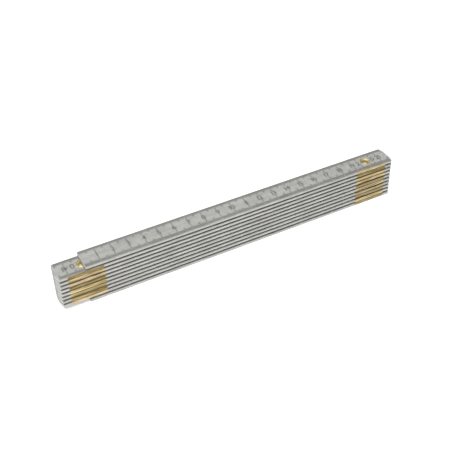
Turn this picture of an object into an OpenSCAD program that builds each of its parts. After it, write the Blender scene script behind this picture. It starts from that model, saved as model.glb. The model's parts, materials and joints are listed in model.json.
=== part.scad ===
// Ten-limb folding rule, two metres long when straight, shown folded flat.
// +X runs along the rule towards the end with five joints, +Y is the far edge,
// +Z is up the stack, and the origin is under the middle of the folded stack.

/* [Rule] */
// Distance between the pivots of one limb, which is also its scale length
pivot_pitch = 200; // [150:10:250]
// Width of a limb
slat_w = 15.5; // [14:0.1:18]
// Thickness of a limb
slat_t = 2.1; // [2.1:0.05:3.2]
// Air gap between two folded limbs
slat_gap = 0.75; // [0.6:0.05:0.9]
// Length of a limb beyond its pivot
overhang = 17.5; // [14:0.5:20]
// Radius of the rounded long edges of a limb
edge_r = 0.55; // [0.2:0.05:0.7]
// Radius of the arc across the end of a limb
end_arc_r = 24; // [14:1:40]
// Radius of the plan corners of a limb
corner_r = 1.4; // [1:0.1:3]

/* [Joint plates] */
// Length of a joint plate along the limb
plate_l = 22.6; // [18:0.2:26]
// Thickness of the plate's sheet metal
plate_t = 0.4; // [0.3:0.05:0.45]
// How far the plate stands out of the limb towards the other plate
plate_proud = 0.24; // [0.1:0.02:0.26]
// Radius of the plate's bend, and of its rounded free edges
bend_r = 0.3; // [0.1:0.05:0.35]
// Radius of the round dish pressed into the plate
dish_r = 5.4; // [4.8:0.1:6]
// Radius of the circle that the detent windows lie on
detent_r = 4.1; // [3.8:0.1:4.4]
// Radius of a detent window
window_r = 0.6; // [0.4:0.05:0.7]

/* [Rivet and washers] */
// Radius of the rivet's shank
shank_r = 1.5; // [1.2:0.1:2]
// Radius of the rivet's domed head
head_r = 2.6; // [2:0.05:2.7]
// Height of the rivet's domed head
head_h = 0.62; // [0.5:0.02:0.65]
// Mouth radius of the cup washer under the head
cup_r = 3.8; // [3.5:0.1:4.2]
// Depth of the cup washer in the limb's outer face
cup_depth = 1.1; // [1:0.05:1.2]
// Thickness of the cup washer's sheet
cup_t = 0.3; // [0.25:0.05:0.35]

/* [Hidden] */
$fn = 64;
LIMBS = 10;
JOINTS = LIMBS - 1;
CUT = 0.02;                     // run-out of a cut past a face
fit = 0.05;                     // clearance between a plate and its milled seat
run_fit = 0.06;                 // radial running clearance around the rivet
pitch = slat_t + slat_gap;
pivot_x = pivot_pitch / 2;
hole_r = shank_r + run_fit;
spring_t = 0.22;                // sheet of the detent spring
spring_r = dish_r - 0.25;
bump_r = 0.5;
bump_h = 0.25;                  // how far a detent bump stands up from its spring
cup_floor_r = head_r + 0.35;    // inner radius of the cup at its floor
lip_w = 0.35;                   // flat lip around the cup's mouth

function two_digits(n) = n < 10 ? str("0", n) : str(n);
function limb_name(n) = str("slat_", two_digits(n));
function joint_name(n) = str("joint_", two_digits(n));

// Limbs are numbered from the top of the folded stack, joint n links limbs n and n + 1.
function limb_z(n) = (LIMBS - n) * pitch;
function joint_x(n) = n % 2 == 1 ? pivot_x : -pivot_x;

// ---- limb ----

// Plan outline of the blank: rounded corners and a gentle arc across each end.
module rounded_plan(length) {
    intersection() {
        union() {
            square([length - 2 * corner_r, slat_w], center = true);
            square([length, slat_w - 2 * corner_r], center = true);
            for (sx = [-1, 1], sy = [-1, 1])
                translate([sx * (length / 2 - corner_r), sy * (slat_w / 2 - corner_r)])
                    circle(corner_r);
        }
        arc_x = length / 2 - end_arc_r;
        union() {
            square([2 * arc_x, slat_w + 2], center = true);
            for (sx = [-1, 1])
                translate([sx * arc_x, 0])
                    circle(end_arc_r, $fn = 128);
        }
    }
}

// Cross-section with rounded corners, centred on its width and standing on zero.
module rounded_section(width, height, r) {
    translate([0, height / 2]) {
        square([width - 2 * r, height], center = true);
        square([width, height - 2 * r], center = true);
        for (sx = [-1, 1], sy = [-1, 1])
            translate([sx * (width / 2 - r), sy * (height / 2 - r)])
                circle(r, $fn = 32);
    }
}

// The first and last limb are cut square at the pivot line of their free end.
module blank(n) {
    full = pivot_pitch + 2 * overhang;
    intersection() {
        linear_extrude(slat_t) rounded_plan(full);
        rotate([90, 0, 90])
            linear_extrude(full + 2, center = true) rounded_section(slat_w, slat_t, edge_r);
        rotate([90, 0, 0])
            linear_extrude(slat_w + 2, center = true) rounded_section(full, slat_t, edge_r);
        if (n == 1 || n == LIMBS)
            translate([-pivot_x, -slat_w, -1]) cube([full, 2 * slat_w, slat_t + 2]);
        else
            cube([2 * full, 4 * slat_w, 4 * slat_t], center = true);
    }
}

// Everything that a joint takes out of one limb, drawn with the joint face at z = 0
// and the limb's wood above it.
module joint_cut() {
    seat_l = plate_l + 2 * fit;
    base_d = plate_t - plate_proud;
    translate([-seat_l / 2, -slat_w, -CUT]) cube([seat_l, 2 * slat_w, base_d + CUT]);
    translate([0, 0, -CUT]) cylinder(r = dish_r + plate_t + fit, h = plate_t + CUT);
    for (sy = [-1, 1])
        translate([-seat_l / 2, sy > 0 ? slat_w / 2 - plate_t - fit : -slat_w, -1])
            cube([seat_l, slat_w / 2 + plate_t + fit, slat_t + 2]);
    translate([0, 0, -1]) cylinder(r = hole_r, h = slat_t + 2);
    translate([0, 0, slat_t - cup_depth])
        cylinder(r1 = cup_floor_r + cup_t, r2 = cup_r, h = cup_depth - cup_t);
    translate([0, 0, slat_t - cup_t - CUT]) cylinder(r = cup_r, h = cup_t + 2 * CUT);
}

// Places a shape drawn on joint n for the limb above it or below it.
module above_joint(n) translate([joint_x(n), 0, limb_z(n)]) children();
module below_joint(n) translate([joint_x(n), 0, limb_z(n + 1) + slat_t]) mirror([0, 0, 1]) children();

module slat(n) {
    color([0.72, 0.72, 0.70])
        difference() {
            translate([0, 0, limb_z(n)]) blank(n);
            if (n < LIMBS) above_joint(n) joint_cut();
            if (n > 1) below_joint(n - 1) joint_cut();
        }
}

// ---- cup washer: a flared, lipped sheet cup pressed into the limb's outer face ----

module cup_washer() {
    floor_z = slat_t - cup_depth;
    lip_in = cup_r - lip_w;
    rotate_extrude()
        polygon([
            [hole_r, floor_z], [cup_floor_r + cup_t, floor_z], [cup_r, slat_t - cup_t],
            [cup_r, slat_t - CUT], [lip_in, slat_t - CUT],
            [cup_floor_r, floor_z + cup_t], [hole_r, floor_z + cup_t]
        ]);
}

module cup_washers(n) {
    color([0.80, 0.74, 0.55]) {
        if (n < LIMBS) above_joint(n) cup_washer();
        if (n > 1) below_joint(n - 1) cup_washer();
    }
}

// ---- joint plate: a sheet channel with a pressed dish and four detent windows ----

module joint_plate() {
    width = slat_w - 2 * fit;
    height = slat_t - fit + plate_proud;
    rim_z = -plate_proud;
    difference() {
        union() {
            intersection() {
                translate([0, 0, rim_z]) rotate([90, 0, 90])
                    linear_extrude(plate_l, center = true) rounded_section(width, height, bend_r);
                union() {
                    translate([-plate_l, -width, rim_z - 1]) cube([2 * plate_l, 2 * width, plate_t + 1]);
                    for (sy = [-1, 1])
                        translate([-plate_l, sy > 0 ? width / 2 - plate_t : -width, rim_z - 1])
                            cube([2 * plate_l, width / 2 + plate_t, height + 2]);
                }
            }
            cylinder(r = dish_r + plate_t, h = plate_t);
        }
        translate([0, 0, rim_z - 1]) cylinder(r = dish_r, h = plate_proud + 1);
        translate([0, 0, -1]) cylinder(r = hole_r, h = 3);
        for (turn = [0 : 90 : 270])
            rotate(turn) translate([detent_r, 0, -1]) cylinder(r = window_r, h = 3, $fn = 24);
    }
}

module upper_plate(n) color([0.78, 0.70, 0.48]) above_joint(n) joint_plate();
module lower_plate(n) color([0.78, 0.70, 0.48]) below_joint(n) joint_plate();

// ---- detent spring: a dished sheet washer with two bumps, resting in the lower plate ----

module detent_spring(n) {
    color([0.62, 0.63, 0.66])
        translate([joint_x(n), 0, limb_z(n + 1) + slat_t])
            difference() {
                union() {
                    cylinder(r = spring_r, h = spring_t);
                    for (sx = [-1, 1])
                        translate([sx * detent_r, 0, 0])
                            cylinder(r = bump_r, h = spring_t + bump_h, $fn = 24);
                }
                translate([0, 0, -1]) cylinder(r = hole_r, h = 3);
                for (sy = [-1, 1])
                    translate([0, sy * detent_r, -1]) cylinder(r = 0.9, h = 3, $fn = 24);
            }
}

// ---- rivet: a shank with a domed head in the cup at each end ----

module rivet_head() {
    sphere_r = (head_r * head_r + head_h * head_h) / (2 * head_h);
    intersection() {
        cylinder(r = head_r, h = head_h + 1);
        translate([0, 0, head_h - sphere_r]) sphere(sphere_r);
    }
}

module rivet(n) {
    mid_z = limb_z(n) - slat_gap / 2;
    seat_z = slat_gap / 2 + slat_t - cup_depth + cup_t;
    color([0.75, 0.66, 0.40])
        translate([joint_x(n), 0, mid_z]) {
            translate([0, 0, -seat_z]) cylinder(r = shank_r, h = 2 * seat_z + fit + CUT);
            translate([0, 0, seat_z + fit]) rivet_head();
            translate([0, 0, -seat_z]) mirror([0, 0, 1]) rivet_head();
        }
}

for (n = [1 : LIMBS]) {
    slat(n);
    cup_washers(n);
}
for (n = [1 : JOINTS]) {
    upper_plate(n);
    lower_plate(n);
    detent_spring(n);
    rivet(n);
}
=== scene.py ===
"""A folded two-metre rule of lacquered wood with printed graduations and brass-plated joints."""
import json
import math

import bmesh
import bpy
from mathutils import Matrix, Vector


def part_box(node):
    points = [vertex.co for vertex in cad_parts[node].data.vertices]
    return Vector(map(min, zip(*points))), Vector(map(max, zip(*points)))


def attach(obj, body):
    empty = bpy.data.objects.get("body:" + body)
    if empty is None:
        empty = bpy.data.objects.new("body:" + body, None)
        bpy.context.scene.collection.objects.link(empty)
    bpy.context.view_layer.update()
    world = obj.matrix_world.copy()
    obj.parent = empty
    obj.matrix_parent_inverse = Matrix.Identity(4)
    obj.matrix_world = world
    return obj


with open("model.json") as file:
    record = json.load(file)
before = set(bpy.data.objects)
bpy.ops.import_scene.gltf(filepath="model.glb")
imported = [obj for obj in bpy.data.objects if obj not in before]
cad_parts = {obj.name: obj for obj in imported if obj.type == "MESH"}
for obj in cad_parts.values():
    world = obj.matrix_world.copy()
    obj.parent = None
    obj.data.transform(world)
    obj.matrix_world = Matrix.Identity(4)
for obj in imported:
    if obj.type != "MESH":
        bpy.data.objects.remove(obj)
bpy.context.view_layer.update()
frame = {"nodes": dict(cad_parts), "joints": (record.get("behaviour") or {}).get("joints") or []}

MM = 0.001

# ---- the rule's layout, read from the frame ----
LIMBS = 10
PIVOT = max(j["pos_m"][0] for j in frame["joints"])
UNITS_PER_LIMB = round(2 * PIVOT / (10 * MM))
HALF_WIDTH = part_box("slat_01")[1].y
PLATE_HALF = (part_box("joint_01_upper_plate")[1].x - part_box("joint_01_upper_plate")[0].x) / 2
CUP_R = (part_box("slat_01_cup_washers")[1].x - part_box("slat_01_cup_washers")[0].x) / 2

# ---- printing ----
INK_PROUD = 0.015 * MM
INK_SUNK = 0.02 * MM
EDGE_MARGIN = 0.50 * MM       # ticks start on the flat, inside the rounded edge
PLATE_MARGIN = 0.55 * MM      # and inside the plate's flange beside a joint
TICK_STEP = 1.0 * MM
TICK_W = 0.50 * MM
TICK_SHORT = 2.3 * MM
TICK_HALF = 3.7 * MM
LINE_W = 0.38 * MM
DIGIT_H = 4.1 * MM
DIGIT_GAP = 0.45 * MM         # clear space between a numeral and its line
DIGIT_SPACE = 0.3 * MM
LINE_TO_CUP = 0.5 * MM        # clear space between a cup washer and the line at its pivot
DIGIT_TO_CUP = 0.6 * MM       # and between the cup washer and the numeral around it
UNDER_PLATE = 0.6 * MM        # printing stops this far outside a plate that hides it
NEAR_PLATE = 0.3 * MM         # ticks this close to a plate keep clear of its flange
LAST_TICK = 2.2 * MM          # ticks stop this far from a rounded end


# ---- materials ----

def new_material(name):
    material = bpy.data.materials.new(name)
    material.use_nodes = True
    return material, material.node_tree.nodes, material.node_tree.links


def noise(nodes, links, coords, stretch, scale, detail=4.0, rough=0.55):
    """A noise texture over the coordinates, stretched per axis."""
    mapping = nodes.new("ShaderNodeMapping")
    mapping.inputs["Scale"].default_value = stretch
    texture = nodes.new("ShaderNodeTexNoise")
    texture.inputs["Scale"].default_value = scale
    texture.inputs["Detail"].default_value = detail
    texture.inputs["Roughness"].default_value = rough
    links.new(coords, mapping.inputs["Vector"])
    links.new(mapping.outputs["Vector"], texture.inputs["Vector"])
    return texture.outputs["Fac"]


def ramp(nodes, links, source, stops):
    """Maps a grey value to colours; stops are (position, colour)."""
    node = nodes.new("ShaderNodeValToRGB")
    elements = node.color_ramp.elements
    while len(elements) < len(stops):
        elements.new(0.5)
    for element, (position, colour) in zip(elements, stops):
        element.position = position
        element.color = (*colour, 1.0)
    links.new(source, node.inputs["Fac"])
    return node.outputs["Color"]


def spread(nodes, links, source, low, high):
    """Maps a noise value from its usual 0.3 to 0.7 onto low to high."""
    node = nodes.new("ShaderNodeMapRange")
    node.inputs["From Min"].default_value = 0.3
    node.inputs["From Max"].default_value = 0.7
    node.inputs["To Min"].default_value = low
    node.inputs["To Max"].default_value = high
    links.new(source, node.inputs["Value"])
    return node.outputs["Result"]


def blend_colours(nodes, links, factor, a, b, mode="MIX"):
    node = nodes.new("ShaderNodeMix")
    node.data_type = "RGBA"
    node.blend_type = mode
    for socket, value in ((node.inputs["Factor"], factor), (node.inputs["A"], a), (node.inputs["B"], b)):
        if isinstance(value, bpy.types.NodeSocket):
            links.new(value, socket)
        else:
            socket.default_value = value if socket.type == "VALUE" else (*value, 1.0)
    return node.outputs["Result"]


def bump(nodes, links, shader, height, distance, strength):
    node = nodes.new("ShaderNodeBump")
    node.inputs["Strength"].default_value = strength
    node.inputs["Distance"].default_value = distance
    links.new(height, node.inputs["Height"])
    links.new(node.outputs["Normal"], shader.inputs["Normal"])


def lacquered_wood(name, shade, offset):
    """Grey-white lacquer over fine straight grain; shade and offset make each limb its own board."""
    material, nodes, links = new_material(name)
    shader = nodes["Principled BSDF"]
    coords = nodes.new("ShaderNodeTexCoord")
    shift = nodes.new("ShaderNodeVectorMath")
    shift.operation = "ADD"
    shift.inputs[1].default_value = (offset, offset * 0.7, 0.0)
    links.new(coords.outputs["Object"], shift.inputs[0])
    where = shift.outputs["Vector"]
    grain = noise(nodes, links, where, (60.0, 1500.0, 1500.0), 1.0, 5.0, 0.6)
    pores = noise(nodes, links, where, (450.0, 3200.0, 3200.0), 1.0, 3.0, 0.5)
    mottle = noise(nodes, links, where, (90.0, 170.0, 170.0), 1.0, 3.0, 0.5)
    paint = ramp(nodes, links, grain, [
        (0.36, tuple(c * shade for c in (0.415, 0.416, 0.392))),
        (0.50, tuple(c * shade for c in (0.495, 0.498, 0.474))),
        (0.64, tuple(c * shade for c in (0.555, 0.556, 0.536)))])
    speck = ramp(nodes, links, pores, [
        (0.34, (0.74, 0.74, 0.72)), (0.46, (1.0, 1.0, 1.0)), (0.64, (1.07, 1.07, 1.07))])
    cloud = ramp(nodes, links, mottle, [(0.36, (0.93, 0.93, 0.925)), (0.64, (1.05, 1.05, 1.055))])
    paint = blend_colours(nodes, links, 1.0, paint, speck, "MULTIPLY")
    paint = blend_colours(nodes, links, 1.0, paint, cloud, "MULTIPLY")
    # Painted light and shade by facing: the sides are painted palest, the rounded edges are painted darkest
    # as painted shade in the gaps between limbs, and the flat faces are painted in between.
    normal = nodes.new("ShaderNodeSeparateXYZ")
    links.new(coords.outputs["Normal"], normal.inputs["Vector"])
    flatness = nodes.new("ShaderNodeMath")
    flatness.operation = "ABSOLUTE"
    links.new(normal.outputs["Z"], flatness.inputs[0])
    face = ramp(nodes, links, flatness.outputs["Value"], [
        (0.0, (0.86, 0.86, 0.85)), (0.30, (0.69, 0.69, 0.68)), (0.60, (0.32, 0.32, 0.315)),
        (0.94, (0.38, 0.38, 0.375)), (0.985, (0.51, 0.51, 0.505))])
    paint = blend_colours(nodes, links, 1.0, paint, face, "MULTIPLY")
    links.new(paint, shader.inputs["Base Color"])
    links.new(spread(nodes, links, mottle, 0.38, 0.52), shader.inputs["Roughness"])
    shader.inputs["Specular IOR Level"].default_value = 0.4
    shader.inputs["Coat Weight"].default_value = 0.12
    shader.inputs["Coat Roughness"].default_value = 0.3
    bump(nodes, links, shader, grain, 0.03 * MM, 0.5)
    return material


def plated_sheet(name, colours, rough, along=(120.0, 2600.0, 2600.0), tint=0.35):
    """Rolled and plated sheet: fine rolling lines under a drift of tint.

    colours are its dull, plain, bright and warm tones, and along is how finely the lines vary per axis.
    """
    material, nodes, links = new_material(name)
    shader = nodes["Principled BSDF"]
    coords = nodes.new("ShaderNodeTexCoord").outputs["Object"]
    rolled = noise(nodes, links, coords, along, 1.0, 3.0, 0.5)
    drift = noise(nodes, links, coords, (28.0, 260.0, 900.0), 1.0, 3.0, 0.6)
    dull, plain, bright, warm = colours
    base = ramp(nodes, links, rolled, [(0.36, dull), (0.50, plain), (0.64, bright)])
    hue = ramp(nodes, links, drift, [(0.38, dull), (0.46, plain), (0.53, bright), (0.62, warm)])
    links.new(blend_colours(nodes, links, tint, base, hue), shader.inputs["Base Color"])
    links.new(spread(nodes, links, drift, rough - 0.06, rough + 0.08), shader.inputs["Roughness"])
    shader.inputs["Metallic"].default_value = 1.0
    bump(nodes, links, shader, rolled, 0.01 * MM, 0.4)
    return material


def plate_brass(name):
    """Brass plating that has dulled a little differently on every plate."""
    turn = 2.3 * int(name[6:8]) + (1.9 if "_lower_" in name else 0.0)
    shade, warmth = 1.0 + 0.38 * math.sin(turn), 1.0 + 0.16 * math.cos(1.7 * turn)
    tones = [(red * shade, green * shade, blue * shade / warmth) for red, green, blue in (
        (0.10, 0.078, 0.030), (0.25, 0.19, 0.075), (0.58, 0.49, 0.29), (0.30, 0.19, 0.11))]
    return plated_sheet(name + "_brass", tones, 0.34, tint=0.6)


def printing_ink():
    """Black ink, slightly worn."""
    material, nodes, links = new_material("printing_ink")
    shader = nodes["Principled BSDF"]
    coords = nodes.new("ShaderNodeTexCoord").outputs["Object"]
    wear = noise(nodes, links, coords, (900.0, 900.0, 900.0), 1.0, 3.0, 0.6)
    links.new(ramp(nodes, links, wear, [
        (0.30, (0.012, 0.012, 0.012)), (0.55, (0.020, 0.020, 0.020)), (0.75, (0.060, 0.060, 0.058))]),
        shader.inputs["Base Color"])
    links.new(spread(nodes, links, wear, 0.45, 0.6), shader.inputs["Roughness"])
    return material


def dress_frame():
    """Gives every CAD node its material."""
    spun = (900.0, 900.0, 900.0)
    cup = plated_sheet("cup_brass", (
        (0.39, 0.35, 0.22), (0.53, 0.48, 0.32), (0.65, 0.61, 0.44), (0.54, 0.47, 0.30)), 0.55, along=spun)
    rivet = plated_sheet("rivet_brass", (
        (0.25, 0.20, 0.08), (0.36, 0.30, 0.13), (0.48, 0.42, 0.22), (0.40, 0.32, 0.14)), 0.50, along=spun)
    steel = plated_sheet("spring_steel", (
        (0.34, 0.34, 0.35), (0.48, 0.48, 0.50), (0.60, 0.60, 0.62), (0.50, 0.47, 0.43)), 0.36)
    endings = (("_cup_washers", cup), ("_rivet", rivet), ("_spring", steel))
    for name, node in frame["nodes"].items():
        material = next((m for ending, m in endings if name.endswith(ending)), None)
        if name.endswith("_plate"):
            material = plate_brass(name)
        elif material is None:
            number = int(name[-2:])
            shade = 1.0 + 0.025 * math.sin(number * 2.4)
            material = lacquered_wood(name + "_lacquer", shade, number * 0.37)
        node.data.materials.clear()
        node.data.materials.append(material)


# ---- graduation ----

def digit_shapes():
    """Closed thin solids for the ten digits, centred on their width and height, in metres."""
    shapes = {}
    for digit in "0123456789":
        curve = bpy.data.curves.new("digit", "FONT")
        curve.body = digit
        curve.size = 1.0
        curve.resolution_u = 3
        curve.extrude = 0.5
        text = bpy.data.objects.new("digit", curve)
        bpy.context.scene.collection.objects.link(text)
        bpy.context.view_layer.update()
        mesh = bpy.data.meshes.new_from_object(text)
        bpy.data.objects.remove(text)
        xs = [v.co.x for v in mesh.vertices]
        ys = [v.co.y for v in mesh.vertices]
        size = DIGIT_H / (max(ys) - min(ys))
        height = INK_PROUD + INK_SUNK
        mesh.transform(Matrix.Translation((0, 0, (INK_PROUD - INK_SUNK) / 2))
                       @ Matrix.Diagonal((size, size, height, 1.0))
                       @ Matrix.Translation((-(min(xs) + max(xs)) / 2, -(min(ys) + max(ys)) / 2, 0)))
        shapes[digit] = (mesh, size * (max(xs) - min(xs)))
    return shapes


DIGITS = digit_shapes()


def add_bar(bm, x, width, y_from, y_to):
    """A thin printed bar across the limb."""
    corners = [(x + sx * width / 2, y) for sx, y in ((-1, y_from), (1, y_from), (1, y_to), (-1, y_to))]
    if y_to < y_from:
        corners.reverse()
    low = [bm.verts.new((cx, cy, -INK_SUNK)) for cx, cy in corners]
    high = [bm.verts.new((cx, cy, INK_PROUD)) for cx, cy in corners]
    bm.faces.new(high)
    bm.faces.new(low[::-1])
    for i in range(4):
        j = (i + 1) % 4
        bm.faces.new((low[i], low[j], high[j], high[i]))


def add_text(bm, text, x_centre):
    """A row of digits centred on x_centre."""
    widths = [DIGITS[c][1] for c in text]
    x = x_centre - (sum(widths) + DIGIT_SPACE * (len(text) - 1)) / 2
    for c, width in zip(text, widths):
        mesh = DIGITS[c][0].copy()
        mesh.transform(Matrix.Translation((x + width / 2, 0, 0)))
        bm.from_mesh(mesh)
        bpy.data.meshes.remove(mesh)
        x += width + DIGIT_SPACE


def add_number(bm, value, x, pivots):
    """A centimetre line broken by its numeral; at a pivot the numeral straddles the cup washer."""
    text = str(value)
    reach = HALF_WIDTH - EDGE_MARGIN
    at_pivot = any(abs(x - p) < MM for p in pivots)
    clear = CUP_R + LINE_TO_CUP if at_pivot else DIGIT_H / 2 + DIGIT_GAP
    for side in (-1, 1):
        add_bar(bm, x, LINE_W, side * clear, side * reach)
    if not at_pivot:
        add_text(bm, text, x)
        return
    beside = CUP_R + DIGIT_TO_CUP
    for part, side in ((text[:-1], -1), (text[-1], 1)):
        width = sum(DIGITS[c][1] for c in part) + DIGIT_SPACE * (len(part) - 1)
        add_text(bm, part, x + side * (beside + width / 2))


def printed_face(name, limb, first, x_from, x_to, z, flips, cups, covered):
    """One printed face. The scale runs along its own +x with the value first at x = -PIVOT.

    flips is the rotation that lays the face on its limb, cups are the pivots whose cups open on
    this face and covered the pivots whose plates hide its printing, all in the face's own x.
    """
    bm = bmesh.new()
    for count in range(math.ceil(x_from / TICK_STEP - 1e-6), math.floor(x_to / TICK_STEP + 1e-6) + 1):
        x = count * TICK_STEP
        value = round((x + PIVOT) / MM) + first * 10
        if value <= 0 or value >= LIMBS * UNITS_PER_LIMB * 10:
            continue
        if any(abs(x - p) < PLATE_HALF + UNDER_PLATE for p in covered):
            continue
        beside_plate = any(abs(x - p) < PLATE_HALF + NEAR_PLATE for p in cups)
        start = HALF_WIDTH - (PLATE_MARGIN if beside_plate else EDGE_MARGIN)
        length = TICK_HALF if value % 5 == 0 else TICK_SHORT
        if value % 10:
            for side in (-1, 1):
                add_bar(bm, x, TICK_W, side * (start - length), side * start)
        else:
            add_number(bm, value // 10, x, cups)
    bmesh.ops.remove_doubles(bm, verts=bm.verts, dist=0.001 * MM)
    bmesh.ops.recalc_face_normals(bm, faces=bm.faces)
    mesh = bpy.data.meshes.new(name)
    bm.to_mesh(mesh)
    bm.free()
    mesh.transform(Matrix.Translation((0, 0, z)) @ flips)
    mesh.materials.append(INK)
    piece = bpy.data.objects.new(name, mesh)
    bpy.context.scene.collection.objects.link(piece)
    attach(piece, limb)


def print_limb(number):
    """Both faces of one limb. The upper face holds this limb's stretch, the lower one the mirror limb's."""
    limb = f"limb_{number:02d}"
    lo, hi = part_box(f"slat_{number:02d}")
    half_turn = Matrix.Rotation(math.pi, 4, "Z")
    underside = Matrix.Rotation(math.pi, 4, "X")
    joint_above = None if number == 1 else (PIVOT if number % 2 == 0 else -PIVOT)
    joint_below = None if number == LIMBS else (PIVOT if number % 2 == 1 else -PIVOT)
    for face, order, z, open_side, hidden_side in (
            ("top", number, hi.z, joint_below, joint_above),
            ("under", LIMBS + 1 - number, lo.z, joint_above, joint_below)):
        turned = order % 2 == 0
        sign = -1 if turned else 1
        ends = sorted((sign * lo.x, sign * hi.x))
        x_from = ends[0] + (LAST_TICK if abs(ends[0]) > PIVOT + MM else TICK_W)
        x_to = ends[1] - (LAST_TICK if abs(ends[1]) > PIVOT + MM else TICK_W)
        flips = half_turn if turned else Matrix.Identity(4)
        if face == "under":
            flips = underside @ flips
        printed_face(f"slat_{number:02d}_{face}_printing", limb, (order - 1) * UNITS_PER_LIMB,
                     x_from, x_to, z, flips,
                     [sign * open_side] if open_side else [],
                     [sign * hidden_side] if hidden_side else [])


# ---- surroundings ----

def stage_floor():
    """A pale table that glows a little, as a lit one does, so the rule's shadow stays faint."""
    bpy.ops.mesh.primitive_plane_add(size=6.0, location=(0, 0, -0.02 * MM))
    floor = bpy.context.object
    floor.name = "floor"
    material, nodes, links = new_material("pale_floor")
    shader = nodes["Principled BSDF"]
    coords = nodes.new("ShaderNodeTexCoord").outputs["Object"]
    cloud = noise(nodes, links, coords, (3.0, 3.0, 3.0), 1.0)
    links.new(ramp(nodes, links, cloud, [(0.3, (0.60, 0.60, 0.60)), (0.7, (0.62, 0.62, 0.62))]),
              shader.inputs["Base Color"])
    shader.inputs["Roughness"].default_value = 0.9
    shader.inputs["Specular IOR Level"].default_value = 0.1
    shader.inputs["Emission Color"].default_value = (1.0, 1.0, 1.0, 1.0)
    shader.inputs["Emission Strength"].default_value = 0.45
    floor.data.materials.append(material)


def direction(azimuth, elevation):
    """Unit vector from the origin; azimuth 0 is in front of the rule and 90 at its +X end."""
    a, e = math.radians(azimuth), math.radians(elevation)
    return Vector((math.sin(a) * math.cos(e), -math.cos(a) * math.cos(e), math.sin(e)))


def soft_light(name, azimuth, elevation, distance, size, power):
    """An area light at an azimuth from the front of the rule, aimed at its middle."""
    data = bpy.data.lights.new(name, "AREA")
    data.shape = "DISK"
    data.size = size
    data.energy = power
    light = bpy.data.objects.new(name, data)
    away = direction(azimuth, elevation)
    light.location = away * distance
    light.rotation_euler = away.to_track_quat("Z", "Y").to_euler()
    bpy.context.scene.collection.objects.link(light)


def light_studio():
    world = bpy.data.worlds.new("studio")
    world.use_nodes = True
    background = world.node_tree.nodes["Background"]
    background.inputs["Color"].default_value = (1.0, 1.0, 1.0, 1.0)
    background.inputs["Strength"].default_value = 0.28
    bpy.context.scene.world = world
    soft_light("left_key", -96.0, 30.0, 1.6, 1.4, 2.2)
    soft_light("overhead", -50.0, 70.0, 0.9, 0.8, 11.5)
    soft_light("high_fill", 0.0, 88.0, 2.4, 3.0, 30.0)


CAMERA_AZIMUTH = -26.96
CAMERA_ELEVATION = 39.48
CAMERA_ROLL = -1.54
CAMERA_DISTANCE = 0.5449
CAMERA_ASIDE = 0.0044         # how far right of the picture's middle the origin lies
CAMERA_BELOW = 0.0097         # and how far below it
CAMERA_LENS = 67.45           # on a 36 mm sensor


def place_camera():
    data = bpy.data.cameras.new("camera")
    data.lens = CAMERA_LENS
    data.sensor_width = 36.0
    data.clip_start = 0.01
    data.clip_end = 20.0
    camera = bpy.data.objects.new("camera", data)
    back = direction(CAMERA_AZIMUTH, CAMERA_ELEVATION)
    turn = back.to_track_quat("Z", "Y").to_matrix() @ Matrix.Rotation(math.radians(CAMERA_ROLL), 3, "Z")
    right, up = turn.col[0], turn.col[1]
    camera.matrix_world = Matrix.LocRotScale(
        back * CAMERA_DISTANCE - right * CAMERA_ASIDE + up * CAMERA_BELOW, turn.to_quaternion(), None)
    bpy.context.scene.collection.objects.link(camera)
    bpy.context.scene.camera = camera


INK = printing_ink()
dress_frame()
for limb_number in range(1, LIMBS + 1):
    print_limb(limb_number)
stage_floor()
light_studio()
place_camera()
bpy.context.scene.view_settings.view_transform = "Standard"

bpy.context.view_layer.update()
